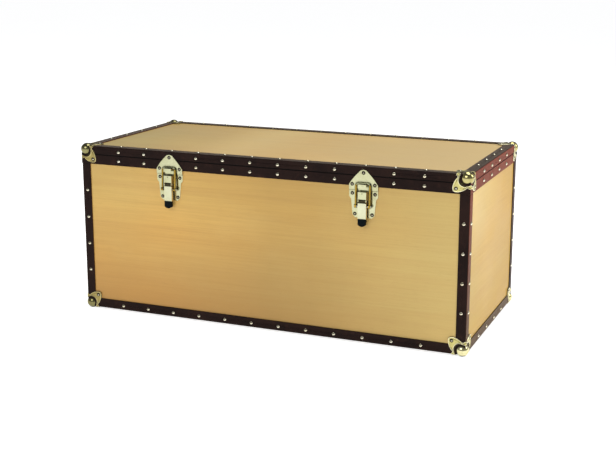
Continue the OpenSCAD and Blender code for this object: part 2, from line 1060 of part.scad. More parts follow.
// A pressed channel with a knuckle on the pin and a tongue that the tip is pushed onto
module lever(side) {
    knuckle_w = column_w - 2 * cheek_t - 2 * pass_clear;
    color(BRASS)
        at_latch(side)
            difference() {
                union() {
                    across_latch(column_w)
                        polygon([
                            [lever_back_q, -lever_top],
                            [lever_q, -lever_top],
                            [lever_q, -lever_end],
                            [lever_back_q, -lever_end]
                        ]);
                    across_latch(knuckle_w)
                        polygon([
                            [pivot_q - web_half, -lever_pivot_z],
                            [pivot_q + web_half, -lever_pivot_z],
                            [pivot_q + web_half, -lever_top - join],
                            [pivot_q - web_half, -lever_top - join]
                        ]);
                    cross_bar([pivot_q, -lever_pivot_z], knuckle_w, boss_r);
                    tip_tongue();
                }
                across_latch(column_w - 2 * cheek_t)
                    polygon([
                        [0, -lever_top - lever_wall],
                        [lever_q - cheek_t, -lever_top - lever_wall],
                        [lever_q - cheek_t, -lever_end + lever_wall],
                        [0, -lever_end + lever_wall]
                    ]);
                cross_bar([pivot_q, -lever_pivot_z], column_w + 2 * join, latch_pin_r + pin_clear);
                cross_bar(bail_pivot, column_w + 2 * join, latch_pin_r + pin_clear);
            }
}

module tip_tongue() {
    low_q = lever_back_q + tip_proud + lever_wall;
    high_q = lever_q - lever_wall;
    end_z = -lever_end - tip_l + tip_core_end;
    across_latch(tip_core_w)
        polygon([
            [low_q, -lever_end + join],
            [high_q, -lever_end + join],
            [high_q, end_z],
            [low_q, end_z]
        ]);
}

// The tip's outline, straight at the sides and with a shallow round end
module tip_outline() {
    round_z = -lever_end - tip_l + tip_end_r;
    translate([-tip_w / 2, round_z])
        square([tip_w, -lever_end - round_z]);
    intersection() {
        translate([0, round_z])
            circle(tip_end_r);
        translate([-tip_w / 2, round_z - 2 * tip_end_r])
            square([tip_w, 2 * tip_end_r]);
    }
}

module lever_tip(side) {
    color(BLACK)
        at_latch(side)
            difference() {
                upright_plate(lever_back_q + tip_proud, lever_q - lever_back_q)
                    tip_outline();
                tip_tongue();
            }
}

module bail(side) {
    straight = bail_length - bail_bend_r;
    color(BRASS)
        at_latch(side)
            translate([0, bail_pivot[0], bail_pivot[1]])
                rotate([bail_lean, 0, 0])
                    difference() {
                        union() {
                            both_sides()
                                translate([bail_w / 2, 0, 0]) {
                                    cylinder(h = straight, r = wire_r);
                                    cross_bar([0, 0], eye_t, eye_r);
                                    translate([-bail_bend_r, 0, straight])
                                        rotate([90, 0, 0])
                                            rotate_extrude(angle = 90)
                                                translate([bail_bend_r, 0])
                                                    circle(wire_r);
                                }
                            cross_bar([0, bail_length], bail_w - 2 * bail_bend_r, wire_r);
                        }
                        cross_bar([0, 0], bail_w + 2 * eye_t, latch_pin_r + pin_clear);
                    }
}

module bail_pin(side) {
    span = bail_w + eye_t + 2 * pass_clear;
    color(STEEL)
        at_latch(side) {
            cross_bar(bail_pivot, span + pin_head, latch_pin_r);
            both_sides()
                translate([(span + pin_head) / 2, 0, 0])
                    cross_bar(bail_pivot, pin_head, latch_pin_r + pin_head);
        }
}

// Stays

// A plate on an end's inner face with a headed pin, at height z
module stay_pivot(side, z) {
    facing(side)
        translate([0, stay_y, z]) {
            block([-inner_x, -stay_plate[0] / 2, -stay_plate[1] / 2],
                  [-stay_x, stay_plate[0] / 2, stay_plate[1] / 2]);
            translate([-stay_x - stay_plate_t / 2, 0, 0])
                rotate([0, 90, 0])
                    cylinder(h = stay_x - stay_head_x + stay_plate_t / 2, r = stay_pin_r);
            translate([-stay_head_x - stay_plate_t, 0, 0])
                rotate([0, 90, 0])
                    cylinder(h = stay_plate_t, r = stay_head_r);
        }
}

module stay_brackets() {
    color(STEEL)
        for (s = SIDES)
            difference() {
                stay_pivot(s, parting_z + stay_rise);
                stay_rivets(s, parting_z + stay_rise, nail_clear);
            }
}

module stay_studs() {
    color(STEEL)
        for (s = SIDES)
            difference() {
                stay_pivot(s, parting_z - stay_rise);
                stay_rivets(s, parting_z - stay_rise, nail_clear);
            }
}

// The slotted arm, hanging from the lid's pivot past the stud
module stay_arm(side) {
    slot_half = stay_pin_r + slide_clear;
    slot_end = stay_pin_r + pass_clear;
    tail = stay_reached + stay_pin_r + stay_end;
    color(STEEL)
        facing(side)
            translate([-stay_arm_x - stay_t, stay_y, parting_z + stay_rise])
                rotate([90, 0, 90])
                    linear_extrude(stay_t)
                        difference() {
                            union() {
                                translate([-stay_w / 2, -tail])
                                    square([stay_w, tail]);
                                circle(stay_eye_r);
                            }
                            circle(stay_pin_r + pin_clear);
                            translate([-slot_half, -stay_reached])
                                square([2 * slot_half, stay_reached - stay_shut]);
                            for (end = [stay_shut, stay_reached])
                                translate([0, -end])
                                    circle(slot_end);
                        }
}

// Assembly

bottom_panel();
front_panel();
back_panel();
case_nails();
case_under_nails();
case_rivets();
case_hinge_leaf();
hinge_pin();
lid_top_panel();
lid_front_rail();
lid_back_rail();
lid_front_valance();
lid_nails();
lid_upper_nails();
lid_rivets();
lid_hinge_leaf();
lever_pins();
stay_brackets();
stay_studs();

for (e = ENDS) {
    long_bottom_edging(e);
    long_lid_edging(e);
}

for (s = SIDES) {
    end_panel(s);
    end_bottom_edging(s);
    lid_end_rail(s);
    end_lid_edging(s);
    lid_end_valance(s);
    latch_base(s);
    latch_strike(s);
    lever(s);
    lever_tip(s);
    bail(s);
    bail_pin(s);
    stay_arm(s);
}

for (e = ENDS, s = SIDES) {
    post_edging(e, s);
    bottom_ball_corner(e, s);
    lid_ball_corner(e, s);
}
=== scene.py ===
import json
import math

import bmesh
import bpy
import numpy as np
from mathutils import Matrix, Vector


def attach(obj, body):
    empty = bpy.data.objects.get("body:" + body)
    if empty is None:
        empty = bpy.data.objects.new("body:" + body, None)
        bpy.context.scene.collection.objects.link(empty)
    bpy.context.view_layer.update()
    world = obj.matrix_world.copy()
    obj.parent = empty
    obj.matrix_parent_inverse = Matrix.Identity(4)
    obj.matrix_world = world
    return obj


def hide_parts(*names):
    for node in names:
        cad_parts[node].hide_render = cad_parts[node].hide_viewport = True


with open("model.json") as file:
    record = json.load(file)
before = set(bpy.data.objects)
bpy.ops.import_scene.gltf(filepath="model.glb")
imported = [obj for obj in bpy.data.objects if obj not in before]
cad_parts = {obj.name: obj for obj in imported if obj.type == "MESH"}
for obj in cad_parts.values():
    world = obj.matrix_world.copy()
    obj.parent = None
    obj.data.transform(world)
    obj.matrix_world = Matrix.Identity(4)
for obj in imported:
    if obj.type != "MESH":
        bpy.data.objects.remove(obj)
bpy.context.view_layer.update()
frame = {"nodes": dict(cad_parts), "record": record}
nodes = frame["nodes"]
record = frame["record"]
scene = bpy.context.scene

# Sizes of the CAD model in millimetres, which the dressed pieces repeat
MM = 0.001
CASE_Z = 4.5
HALF_X, HALF_Y = 478.0, 222.0
TOP_Z = 404.5
PARTING_Z = 361.3
EDGING_T, EDGING_ROUND = 2.0, 3.0
BAND_H, GROOVE_W = 18.5, 2.5
BALL_R, BALL_INSET = 14.5, 9.5
PETAL_T = 1.2
LEAF_T = 1.5
PLATE_T = 1.6

# Nails: distances from the case's edges, or from the parting line for the hinge leaves
PETAL_NAIL = 31.5
EDGING_NAIL = 12.5
BAND_NAIL = 10.8
VALANCE_NAIL = 32.1
LEAF_NAIL = 12.15
LONG_X = np.linspace(-376.5, 376.5, 12)
END_Y = np.linspace(-109.5, 109.5, 4)
POST_Z = np.linspace(CASE_Z + 94.5, PARTING_Z - 64.3, 4)

# Latches: each takes the place of a nail, and its heights count from the parting line.
# The painted grey reflection on a bail's bar starts BAR_REFLECTION_DROP below BAR_RISE.
LATCH_X = -LONG_X[2]
FRONT_X = [x for x in LONG_X if not math.isclose(abs(x), LATCH_X)]
BAR_RISE, BAR_REFLECTION_DROP = 6.7, 3.5
KNUCKLE_Z = (PARTING_Z - 37.0, PARTING_Z - 27.5)
STRIKE_RIVETS = [(0.0, 29.8), (-26.2, 3.7), (26.2, 3.7)]
BASE_RIVETS = [(-26.2, -16.8), (26.2, -16.8), (-20.0, -62.8), (20.0, -62.8)]

# Stays: rivets above and below the parting line, set in from the outer faces of the ends
STAY_RISE = 14.0
STAY_RIVET_Y = (62.3, 84.3)
STAY_INSET = 12.5


# Materials are built from nodes

class Shader:
    """A small builder for one material's node tree."""

    # Sockets of a Mix node that is set to colours
    MIX_FACTOR, MIX_A, MIX_B, MIX_RESULT = 0, 6, 7, 2
    CREVICE_SAMPLES = 6

    def __init__(self, name):
        self.material = bpy.data.materials.new(name)
        self.material.use_nodes = True
        self.tree = self.material.node_tree
        self.tree.nodes.clear()
        output = self.add("OutputMaterial")
        self.bsdf = self.add("BsdfPrincipled")
        self.link(output.inputs[0], self.bsdf.outputs[0])
        source = self.add("TexCoord")
        self.coord = source.outputs["Object"]
        self.normal = source.outputs["Normal"]

    def add(self, kind):
        return self.tree.nodes.new("ShaderNode" + kind)

    def link(self, socket, value):
        """Feeds a socket from another one, or gives it a constant."""
        if isinstance(value, bpy.types.NodeSocket):
            self.tree.links.new(value, socket)
        else:
            socket.default_value = value

    def set(self, **values):
        """Feeds the Principled shader; an underscore stands for a space in an input's name."""
        for name, value in values.items():
            self.link(self.bsdf.inputs[name.replace("_", " ")], value)

    def scaled(self, x, y, z):
        node = self.add("VectorMath")
        node.operation = "MULTIPLY"
        self.link(node.inputs[0], self.coord)
        node.inputs[1].default_value = (x, y, z)
        return node.outputs[0]

    def noise(self, vector, detail, roughness=0.55, distortion=0.0):
        node = self.add("TexNoise")
        self.link(node.inputs["Vector"], vector)
        node.inputs["Scale"].default_value = 1.0
        node.inputs["Detail"].default_value = detail
        node.inputs["Roughness"].default_value = roughness
        node.inputs["Distortion"].default_value = distortion
        return node.outputs[0]

    def math(self, operation, a, b=0.0):
        node = self.add("Math")
        node.operation = operation
        self.link(node.inputs[0], a)
        self.link(node.inputs[1], b)
        return node.outputs[0]

    def times(self, a, b):
        return self.math("MULTIPLY", a, b)

    def most(self, a, b):
        return self.math("MAXIMUM", a, b)

    def size(self, a):
        return self.math("ABSOLUTE", a)

    def spread(self, value, low, high, to_low=0.0, to_high=1.0):
        """Maps low to high onto another stretch, and holds the ends beyond it."""
        node = self.add("MapRange")
        self.link(node.inputs[0], value)
        for socket, limit in zip(node.inputs[1:5], (low, high, to_low, to_high)):
            socket.default_value = limit
        return node.outputs[0]

    def mix(self, factor, a, b):
        node = self.add("Mix")
        node.data_type = "RGBA"
        self.link(node.inputs[self.MIX_FACTOR], factor)
        self.link(node.inputs[self.MIX_A], a)
        self.link(node.inputs[self.MIX_B], b)
        return node.outputs[self.MIX_RESULT]

    def bump(self, height, strength, distance):
        node = self.add("Bump")
        node.inputs["Strength"].default_value = strength
        node.inputs["Distance"].default_value = distance
        self.link(node.inputs["Height"], height)
        return node.outputs[0]

    def crevice(self, distance):
        """1 in the open, lower where other surfaces stand close."""
        node = self.add("AmbientOcclusion")
        node.samples = self.CREVICE_SAMPLES
        node.inputs["Distance"].default_value = distance
        return node.outputs["AO"]

    def axes(self, vector):
        """X, Y and Z of the part's own place or normal, which stay the same when it moves."""
        node = self.add("SeparateXYZ")
        self.link(node.inputs[0], vector)
        return node.outputs


def linear(byte):
    """One sRGB byte as a linear value."""
    c = byte / 255
    return c / 12.92 if c <= 0.04045 else ((c + 0.055) / 1.055) ** 2.4


def rgb(r, g, b):
    """A colour in sRGB bytes as a linear RGBA tuple."""
    return (linear(r), linear(g), linear(b), 1.0)


# One light and one dark ply together, in metres
PLY_M = 0.0036


def wood(name, along, ply_axis, gloss, tones):
    """Lacquered veneer whose grain runs along an axis, with plies on the level rims, and tones of
    painted light and shade laid on by place.

    tones are (colour, share, stretches). A stretch is an axis and two places in metres,
    from where the tone starts to where it is full.
    """
    s = Shader(name)

    def stretched(long, short):
        return s.scaled(*[long if axis == along else short for axis in "xyz"])

    streak = s.noise(stretched(1.6, 42), 4, roughness=0.6, distortion=0.4)
    line = s.noise(stretched(5.0, 330), 3, roughness=0.6)
    pore = s.spread(s.noise(stretched(40, 1500), 2), 0.60, 0.74)
    patch = s.noise(s.scaled(2.1, 2.1, 3.0), 2, roughness=0.45)
    cloud = s.noise(s.scaled(5.5, 5.5, 8.0), 3)
    base = s.mix(s.spread(patch, 0.36, 0.64), rgb(214, 170, 88), rgb(198, 170, 98))
    base = s.mix(s.spread(streak, 0.38, 0.66, 0.0, 0.30), base, rgb(188, 142, 72))
    base = s.mix(s.spread(line, 0.40, 0.68, 0.0, 0.22), base, rgb(168, 126, 62))
    base = s.mix(s.spread(cloud, 0.52, 0.72, 0.0, 0.18), base, rgb(226, 192, 122))
    place = dict(zip("xyz", s.axes(s.coord)))
    # Painted light and shade: each tone lightens or darkens the wood by place, for how light falls
    # on it
    for colour, share, stretches in tones:
        for axis, start, full in stretches:
            share = s.times(s.spread(place[axis], start, full), share)
        base = s.mix(share, base, colour)
    base = s.mix(s.times(pore, 0.28), base, rgb(132, 92, 50))
    if ply_axis:
        plies = s.math("SINE", s.times(place[ply_axis], 2 * math.pi / PLY_M))
        raw = s.mix(s.spread(plies, -0.3, 0.3), rgb(150, 108, 66), rgb(214, 182, 132))
        raw = s.mix(s.spread(line, 0.4, 0.7, 0.0, 0.4), raw, rgb(132, 94, 58))
        level = s.math("GREATER_THAN", s.size(s.axes(s.normal)[2]), 0.8)
        base = s.mix(level, base, raw)
    height = s.math("ADD", s.times(line, 0.6), s.times(pore, -0.5))
    s.set(Base_Color=base, Roughness=s.spread(cloud, 0.3, 0.7, 0.36, 0.48))
    s.set(Normal=s.bump(height, 0.10, 0.0004))
    s.set(Specular_IOR_Level=gloss, Coat_Weight=0.06, Coat_Roughness=0.25)
    return s.material


# Metres over which the painted reddish sheen on the ends fades out at the back posts, and over
# which it reddens
PAINTED_SHEEN_Y = (0.206, 0.192)
PAINTED_SHEEN_Z = (0.03, 0.38)


def fibre(name, groove=None):
    """Dark vulcanised fibre: satin, finely pebbled, with a painted reddish sheen of light on the
    ends and painted shade in its crevices.

    groove gives the heights between which painted shade blackens it, less so on the ends.
    """
    s = Shader(name)
    pebble = s.noise(s.scaled(900, 900, 900), 2)
    cloud = s.noise(s.scaled(14, 14, 14), 4)
    rub = s.noise(s.scaled(60, 60, 60), 5, roughness=0.7)
    base = s.mix(s.spread(cloud, 0.35, 0.65), rgb(27, 17, 15), rgb(38, 24, 20))
    base = s.mix(s.spread(rub, 0.56, 0.76, 0.0, 0.5), base, rgb(62, 40, 34))
    _, depth, height = s.axes(s.coord)
    turned = s.axes(s.normal)
    # The end faces, fading out at the back posts: the mask for the painted light on the ends
    across = s.spread(s.size(turned[0]), 0.6, 0.9)
    across = s.times(across, s.spread(depth, *PAINTED_SHEEN_Y))
    level = s.spread(s.size(turned[2]), 0.6, 0.9)
    # Painted shade: low in crevices and in the groove, where the colour goes near black and the
    # sheen goes
    clear = s.spread(s.crevice(0.008), 0.30, 0.85)
    if groove:
        below = s.math("LESS_THAN", height, groove[0] * MM)
        above = s.math("GREATER_THAN", height, groove[1] * MM)
        clear = s.times(clear, s.most(below, above))
    # On the ends the painted shade is held lighter
    clear = s.most(clear, s.times(across, 0.55))
    # Painted light on the ends: a sheen colour, grey-brown low down and red high up
    high = s.spread(height, *PAINTED_SHEEN_Z)
    painted_end_sheen = s.mix(high, rgb(80, 60, 42), rgb(106, 40, 30))
    base = s.mix(s.times(across, 0.85), base, painted_end_sheen)
    base = s.mix(clear, rgb(10, 6, 5), base)
    # Sheen tint set per face for how light falls, a painted sheen: dim on fronts, warm on level
    # faces, grey-brown low and red high on the ends
    front = s.mix(level, (0.30, 0.22, 0.19, 1.0), (0.95, 0.77, 0.60, 1.0))
    end = s.mix(high, (0.50, 0.38, 0.25, 1.0), (0.92, 0.32, 0.15, 1.0))
    s.set(Base_Color=base, Roughness=s.spread(rub, 0.3, 0.7, 0.46, 0.60))
    s.set(Specular_IOR_Level=0.06, Sheen_Roughness=0.26)
    s.set(Sheen_Tint=s.mix(across, front, end), Sheen_Weight=s.times(clear, 0.60))
    s.set(Normal=s.bump(pebble, 0.16, 0.0003))
    return s.material


# Millimetres over which a look that depends on the height comes in
DARK_FADE, CREST_FADE = 1.2, 1.5


def brass(name, tones, rough, depth=0.006, dark=None, flank=None, crest=None, painted_reflection=0.0):
    """Plated brass: clean and toned clouds, dull smears, and painted shade in crevices.

    tones are the clean, toned and dull colours, and rough the roughness from clean to smeared.
    depth is how far off another surface brings painted shade, in metres.
    dark gives the heights between which the metal is blackened with painted shade, for the lever's
    knuckle.
    flank is the colour of faces turned to the left or right, a painted golden reflection of the
    wood.
    crest is a height and the colour above it, a painted grey reflection on the bail's bar.
    dust is how far the crowns and the slopes that look upwards are painted dark, a painted dark
    reflection, but not level faces.
    """
    s = Shader(name)
    clean, toned, dull = (rgb(*tone) for tone in tones)
    smear = s.noise(s.scaled(70, 70, 70), 5, roughness=0.65, distortion=0.6)
    fine = s.noise(s.scaled(420, 420, 1500), 3)
    cloud = s.noise(s.scaled(28, 28, 28), 3)
    base = s.mix(s.spread(cloud, 0.35, 0.65), clean, toned)
    base = s.mix(s.spread(smear, 0.55, 0.78, 0.0, 0.5), base, dull)
    # Painted shade in crevices, near other surfaces
    painted_shade = s.spread(s.crevice(depth), 0.35, 0.90, 0.95, 0.0)
    metal = 1.0
    height = s.axes(s.coord)[2]
    turned = s.axes(s.normal)
    # Painted reflection: the bail's bar turns grey above a height
    if crest:
        start, colour = crest
        painted_bar = s.spread(height, start * MM, (start + CREST_FADE) * MM)
        base = s.mix(painted_bar, base, colour)
    # Painted shade on the lever's knuckle
    if dark:
        low, high = dark
        above = s.spread(height, low * MM, (low + DARK_FADE) * MM)
        below = s.spread(height, high * MM, (high - DARK_FADE) * MM)
        painted_shade = s.most(painted_shade, s.times(s.math("MINIMUM", above, below), 0.95))
    # Painted reflection: the upper slopes of heads painted dark
    if painted_reflection:
        tilt = s.math("SUBTRACT", turned[2], s.times(s.size(turned[0]), 0.6))
        painted_dark = s.spread(tilt, -0.35, -0.05, 0.0, painted_reflection)
        painted_shade = s.most(painted_shade, s.times(painted_dark, s.spread(turned[2], 0.80, 0.60)))
    # Painted shade: near black where the shade masks are high
    base = s.mix(painted_shade, base, rgb(40, 34, 15))
    # Painted reflection: side faces take a golden colour and lose their metal
    if flank:
        side = s.spread(s.size(turned[0]), 0.7, 0.95, 0.0, 0.75)
        base = s.mix(side, base, flank)
        metal = s.math("SUBTRACT", 1.0, side)
    smeared = s.spread(smear, 0.3, 0.75, *rough)
    s.set(Base_Color=base, Metallic=metal)
    s.set(Roughness=s.math("ADD", smeared, s.times(painted_shade, 0.2)))
    s.set(Normal=s.bump(fine, 0.03, 0.0002))
    return s.material


def shade_brass(name, low, high):
    """Dark brass for painted shade, in the collar recesses round the balls and in the rings round
    heads.
    """
    s = Shader(name)
    cloud = s.noise(s.scaled(160, 160, 160), 4)
    base = s.mix(s.spread(cloud, 0.35, 0.65), low, high)
    s.set(Base_Color=base, Metallic=0.7, Roughness=s.spread(cloud, 0.3, 0.7, 0.35, 0.55))
    s.set(Normal=s.bump(cloud, 0.08, 0.0003))
    return s.material


def steel():
    """Brushed steel for the pins and the stays."""
    s = Shader("steel")
    brush = s.noise(s.scaled(2600, 2600, 60), 4)
    cloud = s.noise(s.scaled(30, 30, 30), 3)
    base = s.mix(s.spread(cloud, 0.35, 0.7), rgb(196, 196, 192), rgb(160, 160, 158))
    s.set(Base_Color=base, Metallic=1.0, Roughness=s.spread(brush, 0.3, 0.7, 0.24, 0.40))
    s.set(Normal=s.bump(brush, 0.08, 0.0002))
    return s.material


def black_plastic():
    """Moulded black plastic, satin and faintly speckled."""
    s = Shader("black_plastic")
    grain = s.noise(s.scaled(1600, 1600, 1600), 2)
    cloud = s.noise(s.scaled(90, 90, 90), 3)
    base = s.mix(s.spread(cloud, 0.35, 0.7), rgb(3, 8, 11), rgb(8, 16, 20))
    s.set(Base_Color=base, Roughness=s.spread(cloud, 0.3, 0.7, 0.38, 0.52))
    s.set(Specular_IOR_Level=0.05, Normal=s.bump(grain, 0.10, 0.0002))
    return s.material


# Colours of painted light and painted shade for the wood tones
SHADE_DEEP, LIT_PALE = rgb(168, 120, 54), rgb(202, 180, 114)
LIT_WARM, SHADED = rgb(216, 186, 124), rgb(166, 156, 96)
SHADE_HONEY, LIT_STRAW = rgb(176, 142, 64), rgb(232, 206, 140)
SHADE_UMBER = rgb(150, 124, 66)
PAINTED_GOLD_REFLECTION, PAINTED_GREY_REFLECTION = rgb(206, 152, 46), rgb(146, 148, 116)

# Front and back: painted shade low on the left, across the middle and along the top, painted light
# on the right
WOOD_LONG = wood("wood_long", "x", "y", 0.35, [
    (SHADE_DEEP, 0.85, [("z", 0.25, 0.0), ("x", 0.45, 0.0)]),
    (SHADE_UMBER, 0.40, [("x", -0.22, 0.02), ("x", 0.60, 0.12)]),
    (SHADE_UMBER, 0.15, [("z", 0.22, 0.34)]),
    (LIT_PALE, 0.32, [("x", 0.12, 0.45)]),
])
# Top and bottom: painted light to the right and in a band left of the middle, painted shade on the
# left
WOOD_LEVEL = wood("wood_level", "x", None, 0.8, [
    (LIT_WARM, 0.85, [("x", -0.45, 0.45)]),
    (SHADED, 0.35, [("x", 0.0, -0.45)]),
    (LIT_STRAW, 0.30, [("x", -0.24, -0.13), ("x", 0.02, -0.10)]),
])
# Ends: painted shade low down and towards the back, painted light high up towards the front
WOOD_END = wood("wood_end", "y", "x", 0.05, [
    (SHADE_HONEY, 0.42, [("z", 0.40, 0.05)]),
    (SHADE_HONEY, 0.50, [("y", -0.05, 0.2)]),
    (LIT_STRAW, 0.60, [("z", 0.20, 0.36), ("y", 0.10, -0.20)]),
])
FIBRE = fibre("fibre")
VALANCE_FIBRE = fibre("valance_fibre", (TOP_Z - BAND_H - GROOVE_W, TOP_Z - BAND_H))
LATCH_BRASS = brass("latch_brass", [(184, 185, 150), (174, 173, 134), (146, 138, 94)],
                    (0.14, 0.26), flank=PAINTED_GOLD_REFLECTION)
LEVER_BRASS = brass("lever_brass", [(194, 195, 166), (186, 185, 150), (162, 156, 112)],
                    (0.16, 0.28), dark=KNUCKLE_Z, flank=PAINTED_GOLD_REFLECTION)
BAIL_BRASS = brass("bail_brass", [(160, 134, 58), (140, 114, 44), (100, 90, 46)],
                   (0.18, 0.30), crest=(PARTING_Z + BAR_RISE - BAR_REFLECTION_DROP, PAINTED_GREY_REFLECTION))
NAIL_BRASS = brass("nail_brass", [(232, 228, 208), (222, 214, 184), (190, 180, 146)],
                   (0.12, 0.22), depth=0.003, painted_reflection=0.8)
# Petal, rim and ball brass come in lit copies for the right-hand corners and darker copies of
# painted shade for the left-hand ones
PETAL_BRASS = brass("petal_brass", [(190, 182, 120), (174, 166, 104), (146, 138, 84)],
                    (0.24, 0.36))
SHADED_PETAL_BRASS = brass("shaded_petal_brass", [(160, 146, 92), (144, 130, 78), (116, 102, 60)],
                         (0.26, 0.38))
# Paler brass on the petals' raised rims: a painted highlight
RIM_BRASS = brass("rim_brass", [(222, 216, 184), (210, 202, 160), (186, 176, 128)],
                  (0.14, 0.24))
SHADED_RIM_BRASS = brass("shaded_rim_brass", [(190, 178, 130), (176, 162, 112), (150, 136, 88)],
                       (0.18, 0.28))
# Foot balls lighter and lid balls darker: painted reflection of the floor below and the room above
FOOT_BALL_BRASS = brass("ball_brass", [(212, 206, 162), (200, 192, 138), (168, 158, 100)],
                        (0.10, 0.18))
LID_BALL_BRASS = brass("lid_ball_brass", [(176, 168, 116), (160, 150, 96), (128, 120, 74)],
                       (0.10, 0.18))
SHADED_BALL_BRASS = brass("shaded_ball_brass", [(134, 130, 90), (118, 112, 72), (88, 84, 54)],
                        (0.10, 0.18))
# Painted shade: the dark crescent round each ball and the dark rings round heads
GROOVE = shade_brass("groove_painted_shade", rgb(48, 44, 20), rgb(72, 66, 32))
RING = shade_brass("ring_painted_shade", rgb(22, 18, 9), rgb(40, 34, 17))
STEEL = steel()
BLACK = black_plastic()


# The CAD nodes keep their shapes, with these materials and a small bevel

# Bevel widths in millimetres
BEVELS = {"wood": 0.4, "fibre": 0.35, "brass": 0.35, "steel": 0.25, "black_plastic": 1.1}
BEVEL_SEGMENTS = 2
BEVEL_ANGLE = math.radians(40)
# Metres: the first joins the loose faces, the second takes out slivers after the bevel
WELD, CLEAN_WELD = 0.00001, 0.000001


def material_for(name, slot):
    if slot == "wood":
        if name in ("bottom_panel", "lid_top_panel"):
            return WOOD_LEVEL
        return WOOD_END if "left" in name or "right" in name else WOOD_LONG
    if slot == "brass":
        return {"lever": LEVER_BRASS, "bail": BAIL_BRASS}.get(name.split("_")[-1], LATCH_BRASS)
    if name.endswith("valance"):
        return VALANCE_FIBRE
    return {"fibre": FIBRE, "steel": STEEL, "black_plastic": BLACK}[slot]


for part in record["subparts"]:
    node = nodes[part["node"]]
    node.data.materials.clear()
    node.data.materials.append(material_for(part["node"], part["material_slot"]))
    node.modifiers.new("weld", "WELD").merge_threshold = WELD
    bevel = node.modifiers.new("bevel", "BEVEL")
    bevel.width = BEVELS[part["material_slot"]] * MM
    bevel.segments = BEVEL_SEGMENTS
    bevel.limit_method = "ANGLE"
    bevel.angle_limit = BEVEL_ANGLE
    node.modifiers.new("clean", "WELD").merge_threshold = CLEAN_WELD
    node.modifiers.new("normals", "WEIGHTED_NORMAL")


# The nails, rivets and ball corners are dressed with finer meshes, drawn in millimetres

SAME_POINT = 0.001
HEAD_STEPS = 28
BALL_STEPS, BALL_RINGS = 48, 26


def piece(name, bm, materials, body, replaced):
    """Turns a bmesh into an object that rides on a body and stands for CAD nodes."""
    bmesh.ops.remove_doubles(bm, verts=bm.verts, dist=SAME_POINT)
    bmesh.ops.recalc_face_normals(bm, faces=bm.faces)
    bmesh.ops.scale(bm, vec=(MM, MM, MM), verts=bm.verts)
    mesh = bpy.data.meshes.new(name)
    bm.to_mesh(mesh)
    bm.free()
    for face in mesh.polygons:
        face.use_smooth = True
    for material in materials:
        mesh.materials.append(material)
    obj = bpy.data.objects.new(name, mesh)
    scene.collection.objects.link(obj)
    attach(obj, body)
    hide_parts(*replaced)


def strip(bm, low, high, material, closed):
    """Faces between two rows of vertices, or between a row and a single point."""
    count = len(low)
    for i in range(count if closed else count - 1):
        j = (i + 1) % count
        top = (high[0],) if len(high) == 1 else (high[j], high[i])
        bm.faces.new((low[i], low[j], *top)).material_index = material


def lathe(bm, profile, place, steps):
    """Turns (radius, height, material) rows about Z, closes the foot and puts it at a place."""
    angles = [2 * math.pi * i / steps for i in range(steps)]
    rings = []
    for radius, height, _ in profile:
        points = [(radius * math.cos(a), radius * math.sin(a), height) for a in angles]
        if radius == 0:
            points = [(0, 0, height)]
        rings.append([bm.verts.new(place @ Vector(point)) for point in points])
    bm.faces.new(rings[0]).material_index = profile[0][2]
    for low, high, row in zip(rings, rings[1:], profile[1:]):
        strip(bm, low, high, row[2], True)


# The two materials of a head, the rows of its crown, and how far in the crown starts
# The seat is a dark ring of painted shade round the crown
CROWN, SEAT = range(2)
CROWN_ROWS = 9
HEAD_EDGE = 0.25


def domed(radius, height):
    """The rows of a crown, from just inside the head's edge to the top."""
    ball = (radius ** 2 + height ** 2) / (2 * height)
    turn = math.asin((radius - HEAD_EDGE) / ball)
    rows = []
    for a in np.linspace(turn, 0, CROWN_ROWS)[:-1]:
        rows.append((ball * math.sin(a), height - ball + ball * math.cos(a), CROWN))
    return rows + [(0, height, CROWN)]


def ringed(ring, radius, height):
    """A dome head with a small edge, which stands in a dark ring of painted shade."""
    seat = [(ring, -0.6), (ring, 0.22), (ring - 0.3, 0.4), (radius + 0.1, 0.3), (radius, 0.1)]
    edge = [(radius, 0.12), (radius, 0.25), (radius - HEAD_EDGE / 2, 0.42)]
    rows = [(*row, SEAT) for row in seat] + [(*row, CROWN) for row in edge]
    return rows + domed(radius, height)


NAIL = ringed(4.3, 3.9, 2.7)
PETAL_HEAD = ringed(4.2, 2.3, 1.6)
RIVET = ringed(4.1, 1.5, 0.9)
FLUSH_RIVET = domed(1.6, 0.24)


# Places on the outer faces: each turns +Z outwards, and level is a height above the face
def on_face(place, degrees, axis):
    return Matrix.Translation(place) @ Matrix.Rotation(math.radians(degrees), 4, axis)


def on_front(x, z, level=0.0):
    return on_face((x, -HALF_Y - level, z), 90, "X")


def on_back(x, z, level=0.0):
    return on_face((x, HALF_Y + level, z), -90, "X")


def on_end(sign, y, z, level=0.0):
    return on_face((sign * (HALF_X + level), y, z), sign * 90, "Y")


def on_top(x, y, level=0.0):
    return on_face((x, y, TOP_Z + level), 0, "X")


def on_bottom(x, y, level=0.0):
    return on_face((x, y, CASE_Z - level), 180, "X")


def heads(name, body, groups):
    """All the heads of one node: groups of a profile and the places it goes."""
    bm = bmesh.new()
    for profile, places in groups:
        for place in places:
            lathe(bm, profile, place, HEAD_STEPS)
    piece(name + "_heads", bm, [NAIL_BRASS, RING], body, [name])


def both(value):
    return (-value, value)


def level_nails(on):
    """The plain nails and the petal nails of the top or the bottom."""
    plain = [on(x, y) for x in LONG_X for y in both(HALF_Y - EDGING_NAIL)]
    plain += [on(x, y) for y in END_Y for x in both(HALF_X - EDGING_NAIL)]
    petal = []
    for x in both(HALF_X - PETAL_NAIL):
        petal += [on(x, y, PETAL_T) for y in both(HALF_Y - PETAL_NAIL)]
    return [(NAIL, plain), (PETAL_HEAD, petal)]


